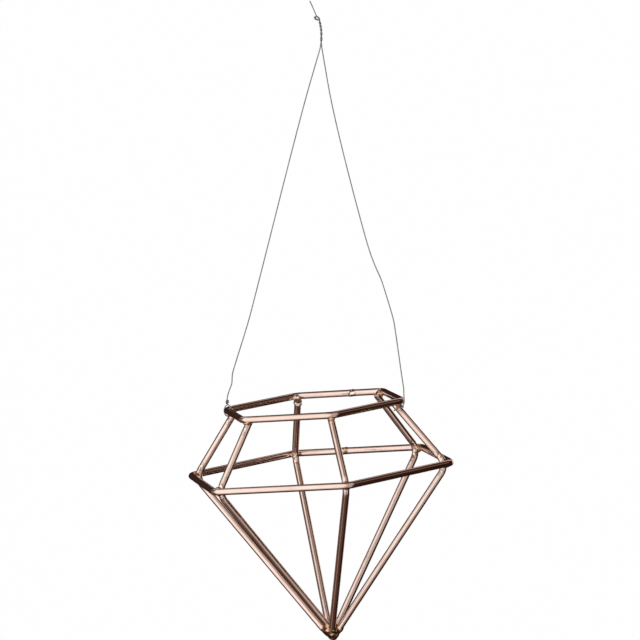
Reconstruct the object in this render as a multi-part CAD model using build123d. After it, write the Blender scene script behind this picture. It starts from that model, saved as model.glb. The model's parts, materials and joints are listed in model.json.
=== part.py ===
from build123d import *
import math
import os

# Hanging diamond ornament: two hexagonal rings and six bent ribs of copper-plated steel rod,
# welded into an open cut-gem shape and hung on two thin steel wires that are twisted together.
# Millimetres, +Z up. The origin is the crotch of the hanger, where a hook carries the ornament.
# The frame is drawn upright about its own axis, with the girdle ring at height 0, and then hung.

# Rod frame, centre-line sizes
ROD_DIAMETER = 3.0
GIRDLE_RADIUS = 60.0  # axis to the unrounded corner of the girdle ring
CROWN_RADIUS = 40.5  # axis to the unrounded corner of the top ring
CROWN_HEIGHT = 28.0  # top ring above the girdle ring
PAVILION_DEPTH = 74.6  # girdle ring down to where the ribs' centre lines would meet
POINT_OFFSET = 2.4  # the point is welded this far off centre, towards the left tie
RING_BEND = 4.5  # radius of a ring's corners
RIB_BEND = 6.0  # radius of a rib's knee
KNEE_DROP = 0.8  # knee below the girdle ring
FIT_UP_GAP = 0.12  # between two rods where a weld joins them
RIB_TOP_OVERRUN = 1.0  # rib past its nearest point to the top ring
RIB_END_RADIUS = 3.3  # ribs are cut off this far from the point's own axis
RIB_LAYS = {  # ribs that lie beside the others at the point: cut-off radius, then shift in x and y
    "right": (3.3, 0.7, 0.0),
    "front_left": (4.9, 1.5, 2.7),
}

# Welds
SEAM_GAP = 1.0  # between the two ends of a ring
SEAM_WIDTH = 3.2  # bead along the rod
SEAM_BULGE = 0.35  # bead above the rod
SEAM_BITE = 0.05  # rim of the bead below the rod's surface
TOP_SEAM_OFFSET = 6.0  # seam to the right of the middle of the back edge
GIRDLE_SEAM_OFFSET = -6.0
CROWN_WELD_RADIUS = 1.6
GIRDLE_WELD_RADIUS = 1.8
POINT_TIP_RADIUS = 1.6
POINT_WELD_SKIN = 0.3  # ribs stand this far out of the point weld's flank
POINT_WELD_RADIUS = 4.4  # widest part, among the rib ends
POINT_WELD_RISE = 3.2  # dome above the widest part

# How the frame hangs
HANG_DROP = 183.5  # crotch of the hanger down to the middle of the girdle ring
HANG_SHIFT = -0.5  # middle of the girdle ring to the side, with the weight under the crotch
HANG_TILT = 5.9  # degrees, right side up, because the right wire is shorter

# Hanger wire
WIRE_DIAMETER = 0.5
WIRE_CLEARANCE = 0.15  # wire beside the rod it is tied to
FLEX_RISE = 5.5  # where the wires bend when the frame swings, above the top ring
FLEX_GAP = 0.5  # half the break between strand and tie there
LEFT_FLEX_INSET = 0.2  # left wire inside the corner of the ring's centre line
LEFT_STRAND_BENDS = [(-8.9, -27.6), (-34.2, -123.1), (-40.2, -141.0)]  # (x, z)
RIGHT_STRAND_BENDS = [(9.3, -43.1), (20.5, -82.9), (27.4, -99.3), (32.9, -116.2)]
RUN_SHARE = 0.45  # share of the shorter run that an arc takes up

# Twist, eye and tail at the top of the hanger
TWIST_RADIUS = 0.3  # each wire's centre line about the twist's axis
TWIST_LENGTH = 10.5
TWIST_TURNS = 2.5
TWIST_LEAN = 3.0  # degrees, to the left
TWIST_LEAD = 1.5  # strands end this far before the crotch
EYE_RADIUS = 0.95
EYE_TURNS = 1.25
EYE_PITCH = 1.0
EYE_SHIFT = -1.3  # middle of the eye from the top of the twist
EYE_RISE = 1.9
TAIL_LEAD = 1.4  # straight out of the eye
TAIL_BENDS = [(-3.9, 16.8), (-5.4, 19.7)]  # (x, z)

# Ties, from the corner of the top ring's centre line: outward, to the front, up
LEFT_TIE_ROUTE = [
    (-0.6, -0.1, 2.0),
    (1.9, -0.6, 2.3),
    (2.7, -0.9, -0.6),
    (1.6, -0.4, -3.0),
    (-0.4, 2.6, -3.3),
    (-3.4, 3.4, -1.9),
    (-3.2, 1.8, 1.6),
]
LEFT_WRAP_DROP = 2.4  # wrap's first turn below the bend
LEFT_WRAP_SIDE = 60.0  # degrees, where the tail meets the wire, from outward to the front
LEFT_WRAP_TURNS = 1.0
RIGHT_LEAD = (1.9, -0.9, -0.3)  # wire passing outside the ring
RIGHT_DROP = (1.42, -0.9, -2.9)  # end of the straight stretch that carries the wrap
RIGHT_LOOP_DROP = 4.4  # loop's first turn down the rib, from its nearest point to the ring
RIGHT_LOOP_PITCH = 1.0
RIGHT_LOOP_TURNS = 0.8
RIGHT_WRAP_TURNS = 1.25
WRAP_PITCH = 0.95
WRAP_LEAD = 1.2  # straight stretch before the left wrap
WRAP_CLEARANCE = 0.06  # wrapped tail to the wire inside it

# Worked out from the sizes above
ROD_RADIUS = ROD_DIAMETER / 2
WIRE_RADIUS = WIRE_DIAMETER / 2
WRAP_RADIUS = WIRE_DIAMETER + WRAP_CLEARANCE
SEAT = ROD_DIAMETER + FIT_UP_GAP  # between the centre lines of two welded rods
HALF_CORNER = math.radians(30)  # half the turn at a hexagon's corner
CORNER_INSET = RING_BEND * (1 / math.cos(HALF_CORNER) - 1)
CROWN_CORNER = CROWN_RADIUS - CORNER_INSET
GIRDLE_CORNER = GIRDLE_RADIUS - CORNER_INSET
CORNERS = {
    "right": 0,
    "back_right": 60,
    "back_left": 120,
    "left": 180,
    "front_left": 240,
    "front_right": 300,
}
HANG = Pos(HANG_SHIFT, 0, -HANG_DROP) * Rot(0, -HANG_TILT, 0)
FRONT = Vector(0, -1, 0)
UP = Vector(0, 0, 1)


def around(angle, radius, height):
    """Point at an angle in degrees about the frame's axis."""
    return Vector(radius, 0, height).rotate(Axis.Z, angle)


def hung(point):
    """Where a point of the upright frame is once the frame hangs."""
    return (HANG * Pos(point)).position


def tube(path, diameter):
    """Round rod or wire along a path."""
    section = Plane(origin=path @ 0, z_dir=path % 0) * Circle(diameter / 2)
    return sweep(section, path=path)


# Rings and their seams


def seam_place(radius, height, offset):
    """Middle of a ring's seam, on its back edge."""
    return Vector(offset, radius * math.cos(HALF_CORNER), height)


def ring(radius, height, seam_offset):
    """Rod bent round a hexagon, from one side of its seam to the other."""
    seam = seam_place(radius, height, seam_offset)
    half_gap = Vector(SEAM_GAP / 2, 0, 0)
    corners = [around(angle, radius, height) for angle in (120, 180, 240, 300, 0, 60)]
    return tube(FilletPolyline(seam - half_gap, *corners, seam + half_gap, radius=RING_BEND), ROD_DIAMETER)


def seam_weld(radius, height, seam_offset, welded_ring):
    """Barrel-shaped bead in and round the butt joint of a ring."""
    half = SEAM_WIDTH / 2
    rim = ROD_RADIUS - SEAM_BITE
    crest = ThreePointArc((-half, rim), (0, ROD_RADIUS + SEAM_BULGE), (half, rim))
    outline = crest + Polyline((-half, rim), (-half, 0), (half, 0), (half, rim))
    bead = revolve(make_face(outline), axis=Axis.X)
    return Pos(seam_place(radius, height, seam_offset)) * bead - welded_ring


# Ribs and the welds that hold them


def leg_normal(knee_centre, target, distance, side):
    """Outward normal of a straight leg that passes a target at a set distance from the knee's centre."""
    gap = target - knee_centre
    angle = math.atan2(gap.Z, gap.X) + side * math.acos(distance / gap.length)
    return Vector(math.cos(angle), 0, math.sin(angle))


CROWN_SEAT = Vector(CROWN_CORNER, 0, CROWN_HEIGHT)
GIRDLE_SEAT = Vector(GIRDLE_CORNER, 0, 0)
POINT = Vector(0, 0, -PAVILION_DEPTH)
KNEE_REACH = RIB_BEND + SEAT
KNEE_CENTRE = Vector(GIRDLE_CORNER - math.sqrt(KNEE_REACH**2 - KNEE_DROP**2), 0, -KNEE_DROP)
UPPER_NORMAL = leg_normal(KNEE_CENTRE, CROWN_SEAT, KNEE_REACH, -1)
LOWER_NORMAL = leg_normal(KNEE_CENTRE, POINT, RIB_BEND, 1)
UPPER_RISE = Vector(-UPPER_NORMAL.Z, 0, UPPER_NORMAL.X)
LOWER_RISE = Vector(-LOWER_NORMAL.Z, 0, LOWER_NORMAL.X)
KNEE_NORMAL = (UPPER_NORMAL + LOWER_NORMAL).normalized()
KNEE = KNEE_CENTRE + KNEE_NORMAL * (RIB_BEND / KNEE_NORMAL.dot(UPPER_NORMAL))
RIB_FOOT = CROWN_SEAT - UPPER_NORMAL * SEAT  # nearest point of the rib to the top ring
RIB_TOP = RIB_FOOT + UPPER_RISE * RIB_TOP_OVERRUN
CROWN_CONTACT = (CROWN_SEAT + RIB_FOOT) / 2
GIRDLE_CONTACT = GIRDLE_SEAT + (KNEE_CENTRE - GIRDLE_SEAT).normalized() * (SEAT / 2)
POINT_SHIFT = Vector(-POINT_OFFSET, 0, 0)


def rib(corner, angle):
    """Rod with one knee, from the top ring's corner past the girdle ring to the point."""
    end_radius, shift_x, shift_y = RIB_LAYS.get(corner, (RIB_END_RADIUS, 0, 0))
    end = POINT + (KNEE - POINT) * (end_radius / KNEE.X)
    top = RIB_TOP.rotate(Axis.Z, angle)
    knee = KNEE.rotate(Axis.Z, angle)
    end = end.rotate(Axis.Z, angle) + POINT_SHIFT + Vector(shift_x, shift_y, 0)
    return tube(FilletPolyline(top, knee, end, radius=RIB_BEND), ROD_DIAMETER)


def joint_weld(contact, seat, angle, radius, *rods):
    """Bead that fills the crevice where two rods touch."""
    middle = contact.rotate(Axis.Z, angle)
    across = (seat - contact).rotate(Axis.Z, angle)
    bead = Plane(origin=middle, z_dir=across) * Sphere(radius)
    for rod in rods:
        bead = bead - rod
    return bead


def point_weld(ribs):
    """Drop of weld metal that gathers the lower ends of the ribs."""
    flank_offset = ROD_RADIUS - POINT_WELD_SKIN
    tip_centre = POINT + UP * ((flank_offset - POINT_TIP_RADIUS) / LOWER_NORMAL.Z)
    tip = tip_centre - UP * POINT_TIP_RADIUS
    flank_start = tip_centre + LOWER_NORMAL * POINT_TIP_RADIUS
    flank_end = flank_start + LOWER_RISE * ((POINT_WELD_RADIUS - flank_start.X) / LOWER_RISE.X)
    crest = Vector(0, 0, flank_end.Z + POINT_WELD_RISE)
    level = Vector(1, 0, 0)
    outline = [
        TangentArc(tip, flank_start, tangent=level),
        Line(flank_start, flank_end),
        TangentArc(crest, flank_end, tangent=level),
        Line(crest, tip),
    ]
    bead = Pos(POINT_SHIFT) * revolve(make_face(outline), axis=Axis.Z)
    for welded_rib in ribs:
        bead = bead - welded_rib
    return bead


# Wire paths


def eased_path(name, route):
    """Straight runs joined by arcs as large as the runs allow."""
    radii = []
    for before, here, after in zip(route, route[1:], route[2:]):
        run_in = here - before
        run_out = after - here
        half_turn = math.radians(run_in.get_angle(run_out)) / 2
        radii.append(RUN_SHARE * min(run_in.length, run_out.length) / math.tan(half_turn))
    print(name, "arc radii", [round(radius, 2) for radius in radii])
    return FilletPolyline(*route, radius=radii)


def biarcs(stations):
    """Two tangent arcs from each (point, direction) to the next."""
    arcs = []
    for (start, leave), (end, arrive) in zip(stations, stations[1:]):
        span = end - start
        reach = span.dot(leave + arrive)
        spread = 2 - 2 * leave.dot(arrive)
        handle = span.dot(span) / (reach + math.sqrt(reach**2 + spread * span.dot(span)))
        knot_in = start + leave * handle
        knot_out = end - arrive * handle
        middle = (knot_in + knot_out) / 2
        arcs.append(TangentArc(start, middle, tangent=leave))
        arcs.append(TangentArc(middle, end, tangent=knot_out - knot_in))
    return arcs


def run_on(point, heading):
    """Straight wire end, as long as the wire is thick, as a (point, direction) station."""
    return point + heading * WIRE_DIAMETER, heading


def wound_path(start, heading, stations):
    """Wire that leaves a point straight, winds through the stations and ends straight."""
    lead = run_on(start, heading)
    foot = run_on(*stations[-1])
    return Wire([Line(start, lead[0]), *biarcs([lead, *stations]), Line(stations[-1][0], foot[0])])


def helix_stations(base, axis, side, hand, radius, pitch, turns):
    """Quarter-turn stations of a helix that starts beside its axis."""
    across = axis.cross(side) * hand
    count = math.ceil(turns * 4)
    stations = []
    for step in range(count + 1):
        turn = 2 * math.pi * turns * step / count
        spoke = side * math.cos(turn) + across * math.sin(turn)
        heading = across * math.cos(turn) - side * math.sin(turn)
        climb = axis * (pitch / (2 * math.pi))
        stations.append((base + climb * turn + spoke * radius, (heading * radius + climb).normalized()))
    return stations


def wound(name, path):
    """Wound wire, with the least gap to its own turns printed."""
    count = 240
    step = path.length / count
    points = [path @ (index / count) for index in range(count + 1)]
    apart = math.ceil(math.pi * WIRE_DIAMETER / step)
    gaps = [
        (points[later] - points[first]).length
        for first in range(count + 1)
        for later in range(first + apart, count + 1)
    ]
    print(name, "least gap to itself", round(min(gaps) - WIRE_DIAMETER, 3))
    return tube(path, WIRE_DIAMETER)


# Hanger: strands, twist, eye and tail, drawn where they hang


def strand_path(name, flex, bends, side):
    """Free stretch of wire from just below the crotch to just above its tie."""
    crotch = Vector(side * TWIST_RADIUS, 0, 0)
    points = [Vector(x, 0, z) for x, z in bends]
    start = crotch + (points[0] - crotch).normalized() * TWIST_LEAD
    end = flex + (points[-1] - flex).normalized() * FLEX_GAP
    return eased_path(name, [start, *points, end])


def twist_path(strand, side):
    """Wire from the end of its strand round the other wire."""
    axis = UP.rotate(Axis.Y, -TWIST_LEAN)
    spoke = Vector(side, 0, 0).rotate(Axis.Y, -TWIST_LEAN)
    turns = helix_stations(
        Vector(0, 0, 0), axis, spoke, -1, TWIST_RADIUS, TWIST_LENGTH / TWIST_TURNS, TWIST_TURNS
    )
    return wound_path(strand @ 0, -(strand % 0), turns)


def eye_path(twist):
    """Wire from the end of its twist round a small open eye."""
    top = UP.rotate(Axis.Y, -TWIST_LEAN) * TWIST_LENGTH
    middle = top + Vector(EYE_SHIFT, -EYE_PITCH / 2, EYE_RISE)
    turns = helix_stations(middle, -FRONT, -UP, 1, EYE_RADIUS, EYE_PITCH, EYE_TURNS)
    return wound_path(twist @ 1, twist % 1, turns)


def tail_path(eye):
    """Wire end that stands up out of the eye."""
    start = eye @ 1
    lead = start + (eye % 1) * TAIL_LEAD
    return eased_path("tail", [start, lead, *[Vector(x, lead.Y, z) for x, z in TAIL_BENDS]])


# Ties, drawn on the upright frame


def at_corner(side, outward, front, up):
    """Point near a tied corner of the top ring; side is -1 for the left one and 1 for the right one."""
    return Vector(side * (CROWN_CORNER + outward), -front, CROWN_HEIGHT + up)


LEFT_FLEX = at_corner(-1, -LEFT_FLEX_INSET, 0, FLEX_RISE)
RIGHT_FLEX = at_corner(1, ROD_RADIUS + WIRE_RADIUS + WIRE_CLEARANCE, 0, FLEX_RISE)


def wrap_stations(seat, axis, toward, hand, turns):
    """Turns of a wire's tail round the straight wire at a seat, from the side that faces a direction."""
    side = (toward - axis * toward.dot(axis)).normalized()
    return helix_stations(seat, axis, side, hand, WRAP_RADIUS, WRAP_PITCH, turns)


def left_tie_paths():
    """Loop round the ring and the rib, and the tail that is wrapped on the wire above them."""
    route = [at_corner(-1, *place) for place in LEFT_TIE_ROUTE]
    down = (route[0] - LEFT_FLEX).normalized()
    toward = Vector(-1, 0, 0).rotate(Axis.Z, LEFT_WRAP_SIDE)
    turns = wrap_stations(LEFT_FLEX + down * LEFT_WRAP_DROP, -down, toward, -1, LEFT_WRAP_TURNS)
    meet, heading = turns[0]
    handover = meet - heading * WRAP_LEAD
    before = handover - heading * WRAP_LEAD
    loop = eased_path("left_tie", [LEFT_FLEX + down * FLEX_GAP, *route, before, handover])
    foot = run_on(*turns[-1])
    wrap = Wire([Line(handover, meet), *biarcs(turns), Line(turns[-1][0], foot[0])])
    return loop, wrap


def right_tie_paths():
    """Wire led outside the ring, looped round the rib, and its tail wrapped on the lead."""
    start = RIGHT_FLEX - UP * FLEX_GAP
    lead = at_corner(1, *RIGHT_LEAD)
    drop = at_corner(1, *RIGHT_DROP)
    down = (drop - lead).normalized()
    led = eased_path("right_tie", [start, lead, drop])
    loop = helix_stations(
        RIB_FOOT - UPPER_RISE * RIGHT_LOOP_DROP,
        UPPER_RISE,
        UPPER_NORMAL,
        -1,
        ROD_RADIUS + WIRE_RADIUS + WIRE_CLEARANCE,
        RIGHT_LOOP_PITCH,
        RIGHT_LOOP_TURNS,
    )
    handover, heading = run_on(*loop[-1])
    tie = Wire([*led.edges(), *biarcs([(drop, down), *loop]), Line(loop[-1][0], handover)])
    turns = wrap_stations(drop, -down, -FRONT, -1, RIGHT_WRAP_TURNS)
    return tie, wound_path(handover, heading, turns)


# Assembly

frame = {}
frame["top_ring"] = ring(CROWN_RADIUS, CROWN_HEIGHT, TOP_SEAM_OFFSET)
frame["girdle_ring"] = ring(GIRDLE_RADIUS, 0, GIRDLE_SEAM_OFFSET)
frame["top_ring_seam_weld"] = seam_weld(CROWN_RADIUS, CROWN_HEIGHT, TOP_SEAM_OFFSET, frame["top_ring"])
frame["girdle_ring_seam_weld"] = seam_weld(GIRDLE_RADIUS, 0, GIRDLE_SEAM_OFFSET, frame["girdle_ring"])
ribs = {corner: rib(corner, angle) for corner, angle in CORNERS.items()}
for corner, angle in CORNERS.items():
    frame[f"rib_{corner}"] = ribs[corner]
    frame[f"crown_weld_{corner}"] = joint_weld(
        CROWN_CONTACT, CROWN_SEAT, angle, CROWN_WELD_RADIUS, frame["top_ring"], ribs[corner]
    )
    frame[f"girdle_weld_{corner}"] = joint_weld(
        GIRDLE_CONTACT, GIRDLE_SEAT, angle, GIRDLE_WELD_RADIUS, frame["girdle_ring"], ribs[corner]
    )
frame["point_weld"] = point_weld(ribs.values())
left_loop, left_wrap = left_tie_paths()
right_loop, right_wrap = right_tie_paths()
frame["left_tie"] = wound("left_tie", left_loop)
frame["left_tie_wrap"] = wound("left_tie_wrap", left_wrap)
frame["right_tie"] = wound("right_tie", right_loop)
frame["right_tie_wrap"] = wound("right_tie_wrap", right_wrap)

parts = {name: HANG * solid for name, solid in frame.items()}
left_strand = strand_path("left_strand", hung(LEFT_FLEX), LEFT_STRAND_BENDS, -1)
right_strand = strand_path("right_strand", hung(RIGHT_FLEX), RIGHT_STRAND_BENDS, 1)
left_twist = twist_path(left_strand, -1)
right_twist = twist_path(right_strand, 1)
knot_eye = eye_path(left_twist)
tail = tail_path(knot_eye)
parts["left_strand"] = tube(left_strand, WIRE_DIAMETER)
parts["right_strand"] = tube(right_strand, WIRE_DIAMETER)
parts["left_twist"] = wound("left_twist", left_twist)
parts["right_twist"] = wound("right_twist", right_twist)
parts["knot_eye"] = wound("knot_eye", knot_eye)
parts["tail"] = tube(tail, WIRE_DIAMETER)

os.makedirs("parts", exist_ok=True)
for name, solid in parts.items():
    export_step(solid, f"parts/{name}.step")
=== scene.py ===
import json
import math

import bmesh
import bpy
from mathutils import Matrix, Vector, noise as lumps

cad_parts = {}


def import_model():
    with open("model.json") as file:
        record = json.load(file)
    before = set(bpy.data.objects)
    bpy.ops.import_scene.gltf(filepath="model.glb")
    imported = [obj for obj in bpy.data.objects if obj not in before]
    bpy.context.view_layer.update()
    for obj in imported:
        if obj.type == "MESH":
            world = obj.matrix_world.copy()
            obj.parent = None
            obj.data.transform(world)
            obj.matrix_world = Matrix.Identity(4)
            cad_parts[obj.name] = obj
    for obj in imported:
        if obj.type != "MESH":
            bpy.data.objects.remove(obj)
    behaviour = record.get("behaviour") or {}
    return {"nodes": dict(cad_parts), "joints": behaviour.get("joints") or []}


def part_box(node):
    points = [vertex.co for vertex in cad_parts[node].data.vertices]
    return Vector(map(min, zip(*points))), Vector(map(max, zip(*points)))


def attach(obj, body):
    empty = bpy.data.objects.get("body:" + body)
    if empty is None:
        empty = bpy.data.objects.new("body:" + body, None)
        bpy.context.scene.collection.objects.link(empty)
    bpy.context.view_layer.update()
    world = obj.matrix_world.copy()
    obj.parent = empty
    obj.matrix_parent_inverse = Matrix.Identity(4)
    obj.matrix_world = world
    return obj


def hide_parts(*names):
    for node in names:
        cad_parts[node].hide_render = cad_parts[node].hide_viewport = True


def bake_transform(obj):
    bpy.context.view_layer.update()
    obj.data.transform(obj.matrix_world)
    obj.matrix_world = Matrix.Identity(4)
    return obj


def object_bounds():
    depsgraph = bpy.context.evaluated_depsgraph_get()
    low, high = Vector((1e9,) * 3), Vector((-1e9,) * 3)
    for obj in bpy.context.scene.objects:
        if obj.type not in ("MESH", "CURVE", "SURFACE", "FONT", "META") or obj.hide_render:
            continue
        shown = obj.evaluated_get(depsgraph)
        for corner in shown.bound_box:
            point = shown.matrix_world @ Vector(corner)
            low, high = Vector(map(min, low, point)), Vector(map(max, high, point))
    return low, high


# Looks of the hanging diamond ornament: copper-plated rods with weld beads, on two thin steel wires.
# The scene is in metres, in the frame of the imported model. Lengths below are written in millimetres
# and angles in degrees, unless a heading says otherwise.

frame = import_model()
CAD_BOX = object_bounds()
MM = 0.001
LEFT = -1
RIGHT = 1

# View of the photograph, with the distance in metres
PICTURE_LENS = 260.5
PICTURE_SENSOR = 36.0
PICTURE_DISTANCE = 2.0125
PICTURE_AZIMUTH = 18.68
PICTURE_ELEVATION = 9.85
VIEW_END = 100.0
GIRDLE_MIDDLE = Vector((-0.5, 0, -183.5)) * MM
AIM = Vector((-0.5, 0, -118.1)) * MM

# Studio, in metres
FLOOR_DROP = 1.2
FLOOR_SIZE = 80.0
FLOOR_TONE = (0.995, 0.995, 0.995, 1)
ROOM_RADIUS = 1.0
ROOM_SEGMENTS = 96
ROOM_RINGS = 48
KEY_PLACE = (-28, 12)  # azimuth and elevation of the large soft light
ROOM_TONES = [  # share of the way towards the large light, colour
    (0.07, (0.016, 0.007, 0.005)),
    (0.25, (0.027, 0.013, 0.009)),
    (0.39, (0.055, 0.031, 0.024)),
    (0.50, (0.14, 0.10, 0.088)),
    (0.61, (0.32, 0.29, 0.275)),
    (0.70, (0.48, 0.46, 0.45)),
    (0.79, (0.74, 0.73, 0.72)),
    (0.86, (1.0, 1.0, 1.0)),
    (0.91, (1.1, 1.11, 1.12)),
]
SMALL_LIGHTS = [  # azimuth, elevation, full within, none beyond, colour, share
    (0, 90, 12, 40, (0.16, 0.115, 0.10), 1.0),
    (0, -90, 12, 36, (0.09, 0.055, 0.045), 1.0),
    (-87, 20, 14, 28, (0.25, 0.225, 0.21), 1.0),
    (-76, -26, 12, 28, (0.26, 0.235, 0.22), 1.0),
    (-84, -50, 10, 24, (0.12, 0.09, 0.08), 1.0),
    (-70, -60, 3, 12, (0.40, 0.27, 0.23), 1.0),
    (64, 16, 10, 32, (0.54, 0.515, 0.50), 1.0),
    (72, 46, 8, 28, (0.48, 0.44, 0.42), 1.0),
    (62, -30, 8, 28, (0.50, 0.475, 0.46), 1.0),
    (106, 30, 3, 13, (0.19, 0.125, 0.10), 1.0),
    (-161, -10, 70, 98, (0.03, 0.014, 0.010), 0.6),
    (166, 2, 12, 26, (0.95, 0.92, 0.90), 1.0),
    (176, 36, 6, 20, (0.60, 0.55, 0.52), 1.0),
    (-128, 38, 6, 16, (0.60, 0.55, 0.52), 1.0),
]

# Rods and wire, as in the solids
ROD_RADIUS = 1.5
RIB_SEAT = 3.12
WIRE_DIAMETER = 0.5
WIRE_RADIUS = WIRE_DIAMETER / 2
WIRE_CLEARANCE = 0.15
LEFT_WIRE_NODES = ("left_tie", "left_tie_wrap", "left_strand", "left_twist", "knot_eye", "tail")
RIGHT_WIRE_NODES = ("right_tie", "right_tie_wrap", "right_strand", "right_twist")

# Top ring's own directions, from the joint that the ornament swings on
FLEX_RISE = 5.5
SWING = frame["joints"][0]
SIDEWAYS = Vector(SWING["axis"]).normalized()
BACK = Vector((0, 1, 0))
UP = SIDEWAYS.cross(BACK)
RING_MIDDLE = Vector(SWING["pos_m"]) - UP * (FLEX_RISE * MM)
RING_LOW, RING_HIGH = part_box("top_ring")
CROWN_CORNER = ((RING_HIGH.x - RING_LOW.x) / 2 / MM - ROD_RADIUS) / SIDEWAYS.x

# Rods, as the streaks of the drawn rod follow them
CORNERS = {  # angle round the ornament's axis
    "right": 0,
    "back_right": 60,
    "back_left": 120,
    "left": 180,
    "front_left": 240,
    "front_right": 300,
}
RING_SIDES = (30, 90, 150)  # directions square to the sides of a ring
RING_SLANT = 47  # a direction that is square to no side and no corner
UPPER_LEG_LEAN = 37.2
LOWER_LEG_LEAN = -38.1
KNEE_HEIGHT = -0.9

# Copper plating; places in a list of tones are values of the noise
RAMP_MIDDLE = 0.5
NOISE_LOW = 0.3
NOISE_HIGH = 0.7
COPPER_TONES = [(0.34, (0.84, 0.58, 0.48)), (0.50, (0.94, 0.71, 0.61)), (0.64, (0.98, 0.78, 0.69))]
COPPER_ROUGHNESS = (0.06, 0.17)
CLOUD_SCALE = 75
CLOUD_DETAIL = 4
CLOUD_WEIGHT = 0.55
STREAK_SCALE = 1500
STREAK_DETAIL = 3
STREAK_WEIGHT = 0.45
STREAK_SHARE = 0.02
STREAK_DEPTH = 0.04
STREAK_STRENGTH = 0.45
WAVE_SCALE = 160
WAVE_DETAIL = 1
WAVE_DEPTH = 0.18
WAVE_STRENGTH = 0.5
LACQUER_WEIGHT = 0.35
LACQUER_ROUGHNESS = 0.05

# Heat marks on the ribs
CLEAN_RIB = "front_right"  # the one rib without heat marks
RIB_HEIGHTS = (-76.0, 30.0)
HEAT_PLACES = [  # height, share
    (-76, 1),
    (-70, 0.8),
    (-63, 0),
    (-7, 0),
    (-3, 1),
    (3, 1),
    (7, 0),
    (20, 0),
    (25, 1),
]
HEAT_PATCHES = [(0.40, (0, 0, 0)), (0.52, (1, 1, 1))]
HEAT_PATCH_SCALE = 420
HEAT_PATCH_DETAIL = 3
HEAT_TONES = [
    (0.42, (0.18, 0.07, 0.045)),
    (0.48, (0.62, 0.36, 0.25)),
    (0.53, (0.96, 0.76, 0.62)),
    (0.60, (0.99, 0.92, 0.78)),
]
HEAT_SPECK_SCALE = 1000
HEAT_SPECK_DETAIL = 4
HEAT_ROUGHNESS = 0.1

# Bare metals
TONE_DETAIL = 5
GLOSS_SCALE = 3  # times the scale of the tones
GLOSS_DETAIL = 3
GRAIN_DETAIL = 4
WELD_TONES = [
    (0.32, (0.16, 0.06, 0.04)),
    (0.44, (0.52, 0.28, 0.18)),
    (0.54, (0.82, 0.54, 0.38)),
    (0.66, (0.88, 0.70, 0.42)),
]
PALE_WELD_TONES = [(0.34, (0.42, 0.22, 0.14)), (0.45, (0.90, 0.70, 0.58)), (0.58, (0.99, 0.88, 0.79))]
SEAM_WELD_TONES = [
    (0.42, (0.14, 0.06, 0.04)),
    (0.48, (0.60, 0.35, 0.23)),
    (0.53, (0.95, 0.75, 0.58)),
    (0.60, (0.99, 0.91, 0.76)),
]
POINT_WELD_TONES = [
    (0.36, (0.16, 0.06, 0.04)),
    (0.47, (0.42, 0.18, 0.12)),
    (0.53, (0.68, 0.40, 0.25)),
    (0.60, (0.95, 0.79, 0.48)),
]
WIRE_TONES = [(0.3, (0.24, 0.24, 0.235)), (0.7, (0.40, 0.40, 0.385))]

# Unevenness of the weld beads
SOFTEN_SHARE = 0.5
BALL_FINENESS = 4
LUMP_STEPS = (3.7, 1.9, 5.3)  # from one seed's place in the noise to the next
GIRDLE_SEED = 10
TOP_SEAM_SEED = 3
GIRDLE_SEAM_SEED = 8
POINT_SEED = 5

# Beads of the ribs
BEAD_VOXEL = 0.16
BEAD_ROUNDS = 4
BEAD_LAST_ROUNDS = 1
BEAD_SWELL = 0.2
BEAD_UNEVENNESS = 0.3
BEAD_LUMP = 0.9
KNOBBED_RIBS = ("back_left",)  # ribs whose upper end the weld has run to a knob
KNOB_RADIUS = 1.75
KNOB_DROP = 1.4

# Seams of the rings
TOP_SEAM_WIDTH = 4.4
GIRDLE_SEAM_WIDTH = 4.4
SEAM_SIDES = 48
SEAM_STEPS = 16
SEAM_WANDER = 0.5
SEAM_WANDER_LUMP = 1.4
SEAM_RISE = 0.1
SEAM_UNEVENNESS = 0.3
SEAM_LUMP = 0.7
SEAM_CREST = 0.8  # less makes the ridge's top broader
SEAM_SINK = 0.08

# Bead at the point, with heights above its tip
POINT_VOXEL = 0.22
POINT_ROUNDS = 16
POINT_LAST_ROUNDS = 2
POINT_REACH = 15.0
POINT_SWELL_TOP = 12.0
POINT_FULL = 7.5
POINT_SINK = 0.2
POINT_SWELL = 0.33
POINT_UNEVENNESS = 0.36
POINT_LUMP = 1.4
POINT_BLOB_TOP = 6.5
POINT_BLOB_FADE = 3.5
POINT_BLOB_SWELL = 0.2
POINT_LEAN = 0.9

# Wire lines and tubes
LEFT_HANDED = -1
RIGHT_HANDED = 1
TURN_POINTS = 12
LINE_ORDER = 3
LINE_STEPS = 5
WIRE_SIDES = 12
FLEX_REACH = 0.6

# Free strands of the hanger: x and z of their small bends, from the tie upwards
LEFT_STRAND_BENDS = [
    (-42.4, -151.2),
    (-41.2, -148.4),
    (-41.0, -147.2),
    (-40.9, -144.0),
    (-40.2, -141.3),
    (-34.3, -123.4),
    (-31.5, -113.8),
    (-8.9, -28.2),
]
RIGHT_STRAND_BENDS = [
    (37.6, -146.5),
    (36.6, -140.5),
    (33.5, -119.7),
    (32.6, -115.2),
    (27.8, -100.6),
    (27.1, -98.8),
    (23.6, -91.7),
    (20.4, -82.6),
    (12.3, -54.0),
    (4.7, -24.5),
]

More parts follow.
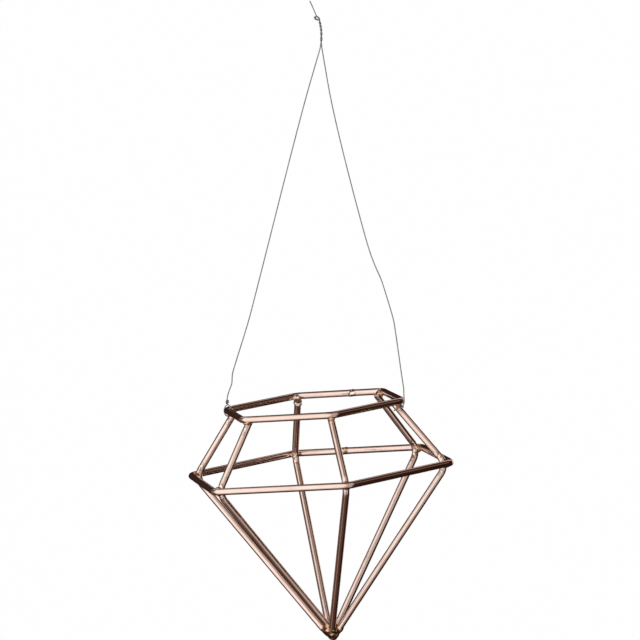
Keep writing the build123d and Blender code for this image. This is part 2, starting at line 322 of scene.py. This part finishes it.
# Twist, knot eye and tail
TWIST_RADIUS = 0.3
TWIST_LENGTH = 10.5
TWIST_TURNS = 2.5
TWIST_LEAN = 3.0
TWIST_CLIMB = 0.62  # 1 winds evenly, less winds the upper part closer
TWIST_BOW = 0.42
TWIST_BOW_PLACE = 1.4  # 1 bows the middle most, more bows the upper part
TWIST_LEAD = 1.5
EYE_LONG = 1.2
EYE_SHORT = 0.75
EYE_TILT = 28.0
EYE_TURNS = 2.25
EYE_PITCH = 0.6
EYE_CLOSING = 0.4
EYE_SHIFT = -1.35
EYE_RISE = 1.9
HOOK = [(-0.6, -0.2, 11.2), (-0.75, 0.3, 12.1), (-1.35, 0.4, 12.95), (-2.1, 0.3, 13.2)]
TAIL_LEAD = 1.0
TAIL_BENDS = [(-3.9, 16.8), (-5.4, 19.7)]

# Ties: places out from the ring's corner, to the front of it and above it
LEFT_FLEX_INSET = 0.2
LEFT_TIE_ROUTE = [
    (-0.15, 0.0, 2.5),
    (1.15, -0.3, 1.7),
    (2.05, -0.5, 0.0),
    (1.6, 0.0, -1.6),
    (0.3, 1.6, -2.4),
    (-1.75, 2.8, -2.3),
    (-2.9, 2.2, 0.2),
    (-1.45, 0.9, 1.75),
]
LEFT_CORE_DROPS = (2.6, 1.2, FLEX_REACH)
LEFT_WRAP_DROP = 2.4
LEFT_WRAP_SIDE = 60.0
LEFT_WRAP_TURNS = 2.0
RIGHT_TIE_ROUTE = [
    (1.74, 0.5, 0.9),
    (1.76, 0.6, -0.6),
    (1.4, 0.7, -1.6),
    (0.6, 0.8, -2.6),
]
RIGHT_CORE_DROPS = (1.2, FLEX_REACH)
RIGHT_WRAP_BASE = (0.5, 0.78, -2.75)
RIGHT_WRAP_TURNS = 1.4
RIGHT_LOOP_DROP = 2.0
RIGHT_LOOP_SIDE = 58.0
RIGHT_LOOP_RADIUS = 1.86
RIGHT_LOOP_PITCH = 0.9
RIGHT_LOOP_TURNS = 0.8
WRAP_RADIUS = 0.57
WRAP_PITCH = 0.62
WRAP_LEAD = 1.2


def link(obj):
    """Object, put into the scene."""
    bpy.context.scene.collection.objects.link(obj)
    return obj


def outward(angle):
    """Direction from the ornament's axis, square to it."""
    turn = math.radians(angle)
    return SIDEWAYS * math.cos(turn) + BACK * math.sin(turn)


def middle_of(node):
    """Middle of a solid's box."""
    return sum(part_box(node), Vector()) / 2


# Materials


def new_material(name):
    """Material with a principled shader, and its nodes and links."""
    material = bpy.data.materials.new(name)
    material.use_nodes = True
    nodes = material.node_tree.nodes
    return material, nodes, material.node_tree.links, nodes["Principled BSDF"]


def noise(nodes, links, coordinates, scale, detail):
    """Cloudy value between 0 and 1."""
    texture = nodes.new("ShaderNodeTexNoise")
    texture.inputs["Scale"].default_value = scale
    texture.inputs["Detail"].default_value = detail
    links.new(coordinates, texture.inputs["Vector"])
    return texture.outputs["Fac"]


def ramp(nodes, links, value, stops):
    """Colours at places along a value."""
    node = nodes.new("ShaderNodeValToRGB")
    elements = node.color_ramp.elements
    while len(elements) < len(stops):
        elements.new(RAMP_MIDDLE)
    for element, (place, colour) in zip(elements, stops):
        element.position = place
        element.color = (*colour, 1)
    links.new(value, node.inputs["Fac"])
    return node.outputs["Color"]


def span(nodes, links, value, low, high):
    """The usual values of a noise, spread over a range."""
    node = nodes.new("ShaderNodeMapRange")
    node.inputs["From Min"].default_value = NOISE_LOW
    node.inputs["From Max"].default_value = NOISE_HIGH
    node.inputs["To Min"].default_value = low
    node.inputs["To Max"].default_value = high
    links.new(value, node.inputs["Value"])
    return node.outputs["Result"]


def bump(nodes, links, height, depth, strength, under=None):
    """Surface normal of a small relief, on top of another relief where one is given."""
    node = nodes.new("ShaderNodeBump")
    node.inputs["Distance"].default_value = depth * MM
    node.inputs["Strength"].default_value = strength
    links.new(height, node.inputs["Height"])
    if under:
        links.new(under, node.inputs["Normal"])
    return node.outputs["Normal"]


def measure(nodes, links, place, towards):
    """Distance along a direction."""
    node = nodes.new("ShaderNodeVectorMath")
    node.operation = "DOT_PRODUCT"
    links.new(place, node.inputs[0])
    node.inputs[1].default_value = towards
    return node.outputs["Value"]


def maths(nodes, links, operation, first, second=None):
    """Result of one step of arithmetic on numbers or values of other nodes."""
    node = nodes.new("ShaderNodeMath")
    node.operation = operation
    for value, socket in zip((first, second), node.inputs):
        if isinstance(value, (int, float)):
            socket.default_value = value
        elif value:
            links.new(value, socket)
    return node.outputs["Value"]


def from_middle(nodes, links, middle):
    """Place on a piece, measured from a point of the ornament's axis."""
    node = nodes.new("ShaderNodeVectorMath")
    node.operation = "SUBTRACT"
    links.new(nodes.new("ShaderNodeTexCoord").outputs["Object"], node.inputs[0])
    node.inputs[1].default_value = middle
    return node.outputs["Vector"]


def ring_streaks(nodes, links, middle):
    """Coordinates that run along a six-sided ring: distance out, height and the way along."""
    place = from_middle(nodes, links, middle)
    spans = []
    for angle in RING_SIDES:
        across = measure(nodes, links, place, outward(angle))
        spans.append(maths(nodes, links, "ABSOLUTE", across))
    wider = maths(nodes, links, "MAXIMUM", spans[0], spans[1])
    out = maths(nodes, links, "MAXIMUM", wider, spans[2])
    height = measure(nodes, links, place, UP)
    return out, height, measure(nodes, links, place, outward(RING_SLANT))


def rib_streaks(nodes, links, angle):
    """Coordinates that run along a rib's two legs: distance aside, distance out and height."""
    place = from_middle(nodes, links, GIRDLE_MIDDLE)
    height = measure(nodes, links, place, UP)
    above = maths(nodes, links, "GREATER_THAN", height, KNEE_HEIGHT * MM)
    below = maths(nodes, links, "SUBTRACT", 1.0, above)
    legs = []
    for lean, share in ((UPPER_LEG_LEAN, above), (LOWER_LEG_LEAN, below)):
        tip = math.radians(lean)
        normal = outward(angle) * math.cos(tip) + UP * math.sin(tip)
        legs.append(maths(nodes, links, "MULTIPLY", measure(nodes, links, place, normal), share))
    aside = measure(nodes, links, place, outward(angle + 90))
    return aside, maths(nodes, links, "ADD", *legs), height


def heat_marks(nodes, links, place, height, plain):
    """Colour of a rib with speckled heat marks beside its welds, and the marks' share."""
    low, high = RIB_HEIGHTS
    along = nodes.new("ShaderNodeMapRange")
    along.inputs["From Min"].default_value = low * MM
    along.inputs["From Max"].default_value = high * MM
    links.new(height, along.inputs["Value"])
    stops = [((level - low) / (high - low), (share, share, share)) for level, share in HEAT_PLACES]
    near = ramp(nodes, links, along.outputs["Result"], stops)
    clouds = noise(nodes, links, place, HEAT_PATCH_SCALE, HEAT_PATCH_DETAIL)
    patches = ramp(nodes, links, clouds, HEAT_PATCHES)
    marked = maths(nodes, links, "MULTIPLY", near, patches)
    grains = noise(nodes, links, place, HEAT_SPECK_SCALE, HEAT_SPECK_DETAIL)
    specks = ramp(nodes, links, grains, HEAT_TONES)
    mix = nodes.new("ShaderNodeMixRGB")
    links.new(marked, mix.inputs["Fac"])
    links.new(plain, mix.inputs["Color1"])
    links.new(specks, mix.inputs["Color2"])
    return mix.outputs["Color"], marked


def copper(name, streaks, *where, heated=False):
    """Copper plating on drawn rod: cloudy tones, lengthwise draw marks and a clear lacquer."""
    material, nodes, links, shader = new_material(name)
    place = nodes.new("ShaderNodeTexCoord").outputs["Object"]
    aside, out, along = streaks(nodes, links, *where)
    run = nodes.new("ShaderNodeCombineXYZ")
    links.new(aside, run.inputs["X"])
    links.new(out, run.inputs["Y"])
    links.new(maths(nodes, links, "MULTIPLY", along, STREAK_SHARE), run.inputs["Z"])
    marks = noise(nodes, links, run.outputs["Vector"], STREAK_SCALE, STREAK_DETAIL)
    clouds = noise(nodes, links, place, CLOUD_SCALE, CLOUD_DETAIL)
    cloudy = maths(nodes, links, "MULTIPLY", clouds, CLOUD_WEIGHT)
    streaky = maths(nodes, links, "MULTIPLY", marks, STREAK_WEIGHT)
    colour = ramp(nodes, links, maths(nodes, links, "ADD", cloudy, streaky), COPPER_TONES)
    roughness = span(nodes, links, marks, *COPPER_ROUGHNESS)
    if heated:
        colour, marked = heat_marks(nodes, links, place, along, colour)
        dulled = maths(nodes, links, "MULTIPLY", marked, HEAT_ROUGHNESS)
        roughness = maths(nodes, links, "ADD", roughness, dulled)
    links.new(colour, shader.inputs["Base Color"])
    links.new(roughness, shader.inputs["Roughness"])
    hollows = noise(nodes, links, place, WAVE_SCALE, WAVE_DETAIL)
    waves = bump(nodes, links, hollows, WAVE_DEPTH, WAVE_STRENGTH)
    fine = bump(nodes, links, marks, STREAK_DEPTH, STREAK_STRENGTH, waves)
    links.new(fine, shader.inputs["Normal"])
    shader.inputs["Metallic"].default_value = 1.0
    shader.inputs["Coat Weight"].default_value = LACQUER_WEIGHT
    shader.inputs["Coat Roughness"].default_value = LACQUER_ROUGHNESS
    return material


def rough_metal(name, tones, tone_scale, roughness, grain_scale, grain_depth, grain_strength):
    """Bare metal with cloudy tones, uneven gloss and a fine grain."""
    material, nodes, links, shader = new_material(name)
    place = nodes.new("ShaderNodeTexCoord").outputs["Object"]
    cloud = noise(nodes, links, place, tone_scale, TONE_DETAIL)
    links.new(ramp(nodes, links, cloud, tones), shader.inputs["Base Color"])
    gloss = noise(nodes, links, place, tone_scale * GLOSS_SCALE, GLOSS_DETAIL)
    links.new(span(nodes, links, gloss, *roughness), shader.inputs["Roughness"])
    grain = noise(nodes, links, place, grain_scale, GRAIN_DETAIL)
    links.new(bump(nodes, links, grain, grain_depth, grain_strength), shader.inputs["Normal"])
    shader.inputs["Metallic"].default_value = 1.0
    return material


TOP_RING_COPPER = copper("copper_of_top_ring", ring_streaks, RING_MIDDLE)
GIRDLE_RING_COPPER = copper("copper_of_girdle_ring", ring_streaks, GIRDLE_MIDDLE)
RIB_COPPER = {
    corner: copper(f"copper_of_rib_{corner}", rib_streaks, angle, heated=corner != CLEAN_RIB)
    for corner, angle in CORNERS.items()
}
WELD = rough_metal(
    "browned_weld_bead",
    WELD_TONES,
    tone_scale=700,
    roughness=(0.14, 0.36),
    grain_scale=2600,
    grain_depth=0.08,
    grain_strength=0.5,
)
PALE_WELD = rough_metal(
    "pale_weld_knob",
    PALE_WELD_TONES,
    tone_scale=800,
    roughness=(0.12, 0.30),
    grain_scale=2600,
    grain_depth=0.06,
    grain_strength=0.4,
)
SEAM_WELD = rough_metal(
    "speckled_seam_weld",
    SEAM_WELD_TONES,
    tone_scale=1000,
    roughness=(0.10, 0.28),
    grain_scale=2600,
    grain_depth=0.08,
    grain_strength=0.5,
)
POINT_WELD = rough_metal(
    "dark_point_weld",
    POINT_WELD_TONES,
    tone_scale=560,
    roughness=(0.14, 0.34),
    grain_scale=2200,
    grain_depth=0.1,
    grain_strength=0.5,
)
WIRE = rough_metal(
    "grey_steel_wire",
    WIRE_TONES,
    tone_scale=300,
    roughness=(0.25, 0.42),
    grain_scale=6000,
    grain_depth=0.01,
    grain_strength=0.4,
)

# Solids: the rods keep theirs, and the welds and wires get new shapes below


def dress(node, material):
    """Give a solid its material."""
    data = frame["nodes"][node].data
    data.materials.clear()
    data.materials.append(material)


dress("top_ring", TOP_RING_COPPER)
dress("girdle_ring", GIRDLE_RING_COPPER)
for corner in CORNERS:
    dress(f"rib_{corner}", RIB_COPPER[corner])
for name in frame["nodes"]:
    if "weld" in name:
        dress(name, WELD)
for name in (*LEFT_WIRE_NODES, *RIGHT_WIRE_NODES):
    dress(name, WIRE)

# Meshes


def close_rows(mesh, rows):
    """Faces between rings of vertices, with the first and the last ring closed."""
    sides = len(rows[0])
    for first, second in zip(rows, rows[1:]):
        for side in range(sides):
            after = (side + 1) % sides
            mesh.faces.new((first[side], first[after], second[after], second[side]))
    mesh.faces.new(list(reversed(rows[0])))
    mesh.faces.new(rows[-1])
    bmesh.ops.recalc_face_normals(mesh, faces=mesh.faces)


def finish_mesh(name, mesh, material, flat_ends=False):
    """Object with smooth faces from a mesh that was built here, or with smooth sides and flat ends."""
    data = bpy.data.meshes.new(name)
    mesh.to_mesh(data)
    mesh.free()
    smooth = [not flat_ends or len(face.vertices) == 4 for face in data.polygons]
    data.polygons.foreach_set("use_smooth", smooth)
    data.materials.append(material)
    return link(bpy.data.objects.new(name, data))


# Weld beads


def weld_piece(piece, node):
    """Put a bead on the swinging frame, in place of its solid."""
    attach(piece, "frame")
    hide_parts(node)


def even_skin(parts, voxel):
    """One closed skin of even faces over several meshes."""
    data = bpy.data.meshes.new("skin")
    parts.to_mesh(data)
    parts.free()
    holder = link(bpy.data.objects.new("skin", data))
    remesh = holder.modifiers.new("remesh", "REMESH")
    remesh.mode = "VOXEL"
    remesh.voxel_size = voxel * MM
    skin = bmesh.new()
    skin.from_object(holder, bpy.context.evaluated_depsgraph_get())
    bpy.data.objects.remove(holder)
    bpy.data.meshes.remove(data)
    return skin


def soften(skin, rounds):
    """Smooth a skin, and bring its normals up to date."""
    for _ in range(rounds):
        bmesh.ops.smooth_vert(
            skin,
            verts=skin.verts,
            factor=SOFTEN_SHARE,
            use_axis_x=True,
            use_axis_y=True,
            use_axis_z=True,
        )
    skin.normal_update()


def push(skin, moves):
    """Move each vertex of a skin by its own way."""
    for vertex, move in zip(skin.verts, moves):
        vertex.co += move


def add_ball(parts, middle, radius):
    """Add a ball to a mesh."""
    place = Matrix.Translation(middle)
    bmesh.ops.create_icosphere(parts, subdivisions=BALL_FINENESS, radius=radius * MM, matrix=place)


def lump(place, size, seed):
    """Steady unevenness between about -0.5 and 0.5."""
    return lumps.noise(place / (size * MM) + Vector([seed * step for step in LUMP_STEPS]))


def bead(node, seed, knob=None):
    """Uneven bead of a weld, swollen a little from its solid; a rod end there may run to a knob."""
    parts = bmesh.new()
    parts.from_mesh(frame["nodes"][node].data)
    if knob:
        add_ball(parts, knob, KNOB_RADIUS)
    skin = even_skin(parts, BEAD_VOXEL)
    soften(skin, BEAD_ROUNDS)
    moves = []
    for vertex in skin.verts:
        swell = BEAD_SWELL + BEAD_UNEVENNESS * lump(vertex.co, BEAD_LUMP, seed)
        moves.append(vertex.normal * (swell * MM))
    push(skin, moves)
    soften(skin, BEAD_LAST_ROUNDS)
    material = PALE_WELD if knob else WELD
    weld_piece(finish_mesh(node.replace("weld", "bead"), skin, material), node)


def seam(node, width, seed, material):
    """Low uneven ridge where the two ends of a ring's rod are welded together."""
    middle = middle_of(node)
    mesh = bmesh.new()
    rows = []
    for step in range(SEAM_STEPS + 1):
        share = 2 * step / SEAM_STEPS - 1
        crest = math.cos(share * math.pi / 2) ** SEAM_CREST
        row = []
        for side in range(SEAM_SIDES):
            turn = 2 * math.pi * side / SEAM_SIDES
            spoke = BACK * math.cos(turn) + UP * math.sin(turn)
            rim = middle + spoke * (ROD_RADIUS * MM)
            wander = SEAM_WANDER * lump(rim, SEAM_WANDER_LUMP, seed)
            along = SIDEWAYS * ((share * width / 2 + wander) * MM)
            height = SEAM_RISE + SEAM_UNEVENNESS * lump(rim + along, SEAM_LUMP, seed + 1)
            rise = height * crest - SEAM_SINK * (1 - crest)
            row.append(mesh.verts.new(rim + along + spoke * (rise * MM)))
        rows.append(row)
    close_rows(mesh, rows)
    weld_piece(finish_mesh(node.replace("weld", "ridge"), mesh, material), node)


def lower_end(corner, level):
    """Middle of a rib's lower end, and the rib's part below a level, with the cut closed."""
    stub = bmesh.new()
    stub.from_mesh(frame["nodes"][f"rib_{corner}"].data)
    lowest = min(vertex.co.z for vertex in stub.verts)
    rim = [vertex.co for vertex in stub.verts if vertex.co.z < lowest + 2 * ROD_RADIUS * MM]
    end = sum(rim, Vector()) / len(rim)
    everything = [*stub.verts, *stub.edges, *stub.faces]
    cut = Vector((0, 0, level))
    bmesh.ops.bisect_plane(stub, geom=everything, plane_co=cut, plane_no=(0, 0, 1), clear_outer=True)
    bmesh.ops.holes_fill(stub, edges=[edge for edge in stub.edges if edge.is_boundary])
    return end, stub


def share_below(height, top, fade):
    """0 above a top height, rising to 1 over a fade below it."""
    return min(1, max(0, (top - height) / fade))


def point_bead():
    """Uneven blob that gathers the six rib ends, run together with them."""
    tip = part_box("point_weld")[0].z
    parts = bmesh.new()
    parts.from_mesh(frame["nodes"]["point_weld"].data)
    for corner in CORNERS:
        end, stub = lower_end(corner, tip + POINT_REACH * MM)
        add_ball(parts, end, ROD_RADIUS)
        data = bpy.data.meshes.new("stub")
        stub.to_mesh(data)
        stub.free()
        parts.from_mesh(data)
        bpy.data.meshes.remove(data)
    skin = even_skin(parts, POINT_VOXEL)
    soften(skin, POINT_ROUNDS)
    moves = []
    for vertex in skin.verts:
        height = (vertex.co.z - tip) / MM
        share = share_below(height, POINT_SWELL_TOP, POINT_SWELL_TOP - POINT_FULL)
        low = share_below(height, POINT_BLOB_TOP, POINT_BLOB_FADE)
        uneven = POINT_SWELL + POINT_UNEVENNESS * lump(vertex.co, POINT_LUMP, POINT_SEED)
        swell = -POINT_SINK + share * uneven + low * POINT_BLOB_SWELL
        moves.append((vertex.normal * swell + SIDEWAYS * (low * POINT_LEAN)) * MM)
    push(skin, moves)
    soften(skin, POINT_LAST_ROUNDS)
    weld_piece(finish_mesh("point_bead", skin, POINT_WELD), "point_weld")


def upper_end(corner):
    """Middle of a rib's upper end, beside the top ring's corner."""
    ring_corner = RING_MIDDLE + outward(CORNERS[corner]) * (CROWN_CORNER * MM)
    inward = middle_of(f"crown_weld_{corner}") - ring_corner
    tip = math.radians(UPPER_LEG_LEAN)
    down = outward(CORNERS[corner]) * math.sin(tip) - UP * math.cos(tip)
    return ring_corner + (inward.normalized() * RIB_SEAT + down * KNOB_DROP) * MM


for seed, corner in enumerate(CORNERS):
    bead(f"crown_weld_{corner}", seed, upper_end(corner) if corner in KNOBBED_RIBS else None)
    bead(f"girdle_weld_{corner}", seed + GIRDLE_SEED)
seam("top_ring_seam_weld", TOP_SEAM_WIDTH, TOP_SEAM_SEED, SEAM_WELD)
seam("girdle_ring_seam_weld", GIRDLE_SEAM_WIDTH, GIRDLE_SEAM_SEED, WELD)
point_bead()

# Wires


def at_corner(side, out, front, up):
    """Place near the left or right corner of the top ring."""
    place = SIDEWAYS * (side * (CROWN_CORNER + out)) - BACK * front + UP * up
    return RING_MIDDLE + place * MM


def hanging(x, z, y=0.0):
    """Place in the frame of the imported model."""
    return Vector((x, y, z)) * MM


def tipped(angle):
    """Turn in the plane that faces the front."""
    return Matrix.Rotation(math.radians(angle), 3, "Y")


def turns_round(base, axis, side, hand, radius, pitch, turns):
    """Control points of a helix, with enough points for each turn."""
    across = axis.cross(side) * hand
    count = math.ceil(turns * TURN_POINTS)
    points = []
    for step in range(count + 1):
        turn = 2 * math.pi * turns * step / count
        spoke = side * math.cos(turn) + across * math.sin(turn)
        points.append(base + (axis * (pitch * turn / (2 * math.pi)) + spoke * radius) * MM)
    return points


def square_side(toward, axis):
    """Direction square to an axis, on the side that faces another direction."""
    return (toward - axis * toward.dot(axis)).normalized()


def between(start, end, distance):
    """Place on the way from one point to another."""
    return start + (end - start).normalized() * (distance * MM)


def twist_turns(side):
    """Control points of one wire's part of the twist, which bows and winds closer upwards."""
    lean = tipped(-TWIST_LEAN)
    axis = lean @ Vector((0, 0, 1))
    spoke = lean @ Vector((side, 0, 0))
    turns = turns_round(Vector(), axis, spoke, LEFT_HANDED, TWIST_RADIUS, 0, TWIST_TURNS)
    wound = []
    for step, place in enumerate(turns):
        share = (step / (len(turns) - 1)) ** TWIST_CLIMB
        bow = math.sin(math.pi * share**TWIST_BOW_PLACE)
        wound.append(place + (axis * (TWIST_LENGTH * share) + SIDEWAYS * (TWIST_BOW * bow)) * MM)
    return wound


def eye_turns():
    """Control points of the oval eye, whose turns grow smaller one behind the other."""
    top = tipped(-TWIST_LEAN) @ hanging(0, TWIST_LENGTH)
    middle = top + hanging(EYE_SHIFT, EYE_RISE)
    tilt = tipped(EYE_TILT)
    depth = EYE_PITCH * EYE_TURNS
    count = math.ceil(EYE_TURNS * TURN_POINTS)
    points = []
    for step in range(count + 1):
        share = step / count
        turn = -math.pi / 2 - 2 * math.pi * EYE_TURNS * step / count
        oval = tilt @ Vector((-EYE_LONG * math.sin(turn), 0, -EYE_SHORT * math.cos(turn)))
        points.append(middle + (oval * (1 - EYE_CLOSING * share) + BACK * (depth * (share - 0.5))) * MM)
    return points


def strand(flex, bends, side):
    """Control points of a free stretch, from just above its tie to just below the crotch."""
    places = [hanging(x, z) for x, z in bends]
    crotch = hanging(side * TWIST_RADIUS, 0)
    leads = [between(crotch, places[-1], distance) for distance in (2 * TWIST_LEAD, TWIST_LEAD)]
    return [between(flex, places[0], FLEX_REACH), *places, *leads]


LEFT_FLEX = at_corner(LEFT, -LEFT_FLEX_INSET, 0, FLEX_RISE)
RIGHT_FLEX = at_corner(RIGHT, ROD_RADIUS + WIRE_RADIUS + WIRE_CLEARANCE, 0, FLEX_RISE)


def left_route():
    """Left wire from the cut end of its wrap, round the corner and up to the end of the tail."""
    loop = [at_corner(LEFT, *place) for place in LEFT_TIE_ROUTE]
    down = (loop[0] - LEFT_FLEX).normalized()
    turn = math.radians(LEFT_WRAP_SIDE)
    side = square_side(-SIDEWAYS * math.cos(turn) - BACK * math.sin(turn), down)
    base = LEFT_FLEX + down * (LEFT_WRAP_DROP * MM)
    wrap = turns_round(base, -down, side, LEFT_HANDED, WRAP_RADIUS, WRAP_PITCH, LEFT_WRAP_TURNS)
    handover = between(wrap[0], wrap[0] * 2 - wrap[1], WRAP_LEAD)
    core = [LEFT_FLEX + down * (drop * MM) for drop in LEFT_CORE_DROPS]
    eye = eye_turns()
    lead = between(eye[-1], eye[-1] * 2 - eye[-2], TAIL_LEAD)
    tail = [hanging(x, z, lead.y / MM) for x, z in TAIL_BENDS]
    return [
        *reversed(wrap),
        handover,
        *reversed(loop),
        *core,
        *strand(LEFT_FLEX, LEFT_STRAND_BENDS, LEFT),
        *twist_turns(LEFT),
        *eye,
        lead,
        *tail,
    ]


def right_route():
    """Right wire from the cut end of its wrap, round the rib and up into the knot."""
    led = [at_corner(RIGHT, *place) for place in RIGHT_TIE_ROUTE]
    corner = at_corner(RIGHT, 0, 0, 0)
    normal = corner - middle_of("crown_weld_right")
    normal.y = 0
    normal.normalize()
    rise = normal.cross(BACK)
    base = corner - (normal * RIB_SEAT + rise * RIGHT_LOOP_DROP) * MM
    turn = math.radians(RIGHT_LOOP_SIDE)
    side = normal * math.cos(turn) - BACK * math.sin(turn)
    loop = turns_round(
        base,
        rise,
        side,
        LEFT_HANDED,
        RIGHT_LOOP_RADIUS,
        RIGHT_LOOP_PITCH,
        RIGHT_LOOP_TURNS,
    )
    up = (led[1] - led[3]).normalized()
    wrap_base = at_corner(RIGHT, *RIGHT_WRAP_BASE)
    inward = square_side(-SIDEWAYS, up)
    wrap = turns_round(wrap_base, up, inward, RIGHT_HANDED, WRAP_RADIUS, WRAP_PITCH, RIGHT_WRAP_TURNS)
    core = [between(RIGHT_FLEX, led[0], drop) for drop in RIGHT_CORE_DROPS]
    return [
        *reversed(wrap),
        *reversed(loop),
        *reversed(led),
        *core,
        *strand(RIGHT_FLEX, RIGHT_STRAND_BENDS, RIGHT),
        *twist_turns(RIGHT),
        *[hanging(x, z, y) for x, y, z in HOOK],
    ]


def smooth_line(route):
    """Points on the smooth curve that has a route as its control points."""
    curve = bpy.data.curves.new("route", "CURVE")
    curve.dimensions = "3D"
    spline = curve.splines.new("NURBS")
    spline.points.add(len(route) - 1)
    for point, place in zip(spline.points, route):
        point.co = (*place, 1)
    spline.order_u = LINE_ORDER
    spline.use_endpoint_u = True
    spline.resolution_u = LINE_STEPS
    holder = bpy.data.objects.new("route", curve)
    mesh = bpy.data.meshes.new_from_object(holder)
    line = [vertex.co.copy() for vertex in mesh.vertices]
    bpy.data.meshes.remove(mesh)
    bpy.data.objects.remove(holder)
    bpy.data.curves.remove(curve)
    return line


def tube(name, line, radius, sides, material):
    """Round wire along a line, with its ends closed."""
    mesh = bmesh.new()
    heading = (line[1] - line[0]).normalized()
    across = heading.orthogonal().normalized()
    rings = []
    for index, place in enumerate(line):
        ahead = line[min(index + 1, len(line) - 1)] - line[max(index - 1, 0)]
        across = heading.rotation_difference(ahead) @ across
        heading = ahead.normalized()
        across = square_side(across, heading)
        other = heading.cross(across)
        ring = []
        for step in range(sides):
            turn = 2 * math.pi * step / sides
            spoke = across * math.cos(turn) + other * math.sin(turn)
            ring.append(mesh.verts.new(place + spoke * radius))
        rings.append(ring)
    close_rows(mesh, rings)
    return finish_mesh(name, mesh, material, flat_ends=True)


def hanger_wire(name, route, nodes):
    """One wire of the hanger, in place of its solids."""
    line = smooth_line(route)
    wire = tube(name, line, WIRE_RADIUS * MM, WIRE_SIDES, WIRE)
    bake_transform(wire)
    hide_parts(*nodes)


hanger_wire("left_wire", left_route(), LEFT_WIRE_NODES)
hanger_wire("right_wire", right_route(), RIGHT_WIRE_NODES)

# Studio


def direction(azimuth, elevation):
    """Unit vector towards a place round the ornament; azimuth 0 is the front."""
    a = math.radians(azimuth)
    e = math.radians(elevation)
    return Vector((math.sin(a) * math.cos(e), -math.cos(a) * math.cos(e), math.sin(e)))


def floor():
    """Plain pale floor under the hanging ornament."""
    half = FLOOR_SIZE / 2
    height = CAD_BOX[0].z - FLOOR_DROP
    data = bpy.data.meshes.new("floor")
    corners = [(-half, -half, height), (half, -half, height), (half, half, height), (-half, half, height)]
    data.from_pydata(corners, [], [(0, 1, 2, 3)])
    material, _, _, shader = new_material("pale_floor")
    shader.inputs["Base Color"].default_value = FLOOR_TONE
    shader.inputs["Roughness"].default_value = 1.0
    shader.inputs["Specular IOR Level"].default_value = 0.0
    data.materials.append(material)
    link(bpy.data.objects.new("floor", data))


def spot(nodes, links, place, towards, inner, outer, share):
    """A share within an angle of a direction, falling smoothly to 0 at a wider one."""
    fade = nodes.new("ShaderNodeMapRange")
    fade.interpolation_type = "SMOOTHSTEP"
    fade.inputs["From Min"].default_value = math.cos(math.radians(outer))
    fade.inputs["From Max"].default_value = math.cos(math.radians(inner))
    fade.inputs["To Max"].default_value = share
    links.new(measure(nodes, links, place, towards), fade.inputs["Value"])
    return fade.outputs["Result"]


def room_walls():
    """Glowing walls: brown shade that brightens towards the large light, and the small lights."""
    material = bpy.data.materials.new("dim_room_walls")
    material.use_nodes = True
    nodes = material.node_tree.nodes
    links = material.node_tree.links
    nodes.clear()
    place = nodes.new("ShaderNodeTexCoord").outputs["Object"]
    towards = nodes.new("ShaderNodeMapRange")
    towards.inputs["From Min"].default_value = -1
    links.new(measure(nodes, links, place, direction(*KEY_PLACE)), towards.inputs["Value"])
    tone = ramp(nodes, links, towards.outputs["Result"], ROOM_TONES)
    for azimuth, elevation, inner, outer, colour, most in SMALL_LIGHTS:
        share = spot(nodes, links, place, direction(azimuth, elevation), inner, outer, most)
        add = nodes.new("ShaderNodeMixRGB")
        links.new(share, add.inputs["Fac"])
        links.new(tone, add.inputs["Color1"])
        add.inputs["Color2"].default_value = (*colour, 1)
        tone = add.outputs["Color"]
    glow = nodes.new("ShaderNodeEmission")
    links.new(tone, glow.inputs["Color"])
    output = nodes.new("ShaderNodeOutputMaterial")
    links.new(glow.outputs["Emission"], output.inputs["Surface"])
    return material


def dim_room():
    """Dim brown room with soft lights, which only the polished metal reflects."""
    mesh = bmesh.new()
    bmesh.ops.create_uvsphere(mesh, u_segments=ROOM_SEGMENTS, v_segments=ROOM_RINGS, radius=1)
    data = bpy.data.meshes.new("dim_room")
    mesh.to_mesh(data)
    mesh.free()
    data.materials.append(room_walls())
    room = link(bpy.data.objects.new("dim_room", data))
    room.location = GIRDLE_MIDDLE
    room.scale = (ROOM_RADIUS, ROOM_RADIUS, ROOM_RADIUS)
    room.visible_camera = False
    room.visible_diffuse = False
    room.visible_transmission = False
    room.visible_shadow = False


def world():
    """White surround at strength 1."""
    surround = bpy.data.worlds.new("studio")
    surround.use_nodes = True
    background = surround.node_tree.nodes["Background"]
    background.inputs["Color"].default_value = (1, 1, 1, 1)
    background.inputs["Strength"].default_value = 1.0
    bpy.context.scene.world = surround


def camera():
    """Camera at the photograph's viewing angle."""
    data = bpy.data.cameras.new("picture")
    data.lens = PICTURE_LENS
    data.sensor_width = PICTURE_SENSOR
    data.clip_end = VIEW_END
    eye = link(bpy.data.objects.new("picture", data))
    eye.location = GIRDLE_MIDDLE + direction(PICTURE_AZIMUTH, PICTURE_ELEVATION) * PICTURE_DISTANCE
    eye.rotation_mode = "QUATERNION"
    eye.rotation_quaternion = (AIM - eye.location).to_track_quat("-Z", "Y")
    bpy.context.scene.camera = eye


floor()
dim_room()
world()
camera()
bpy.context.scene.view_settings.view_transform = "Standard"
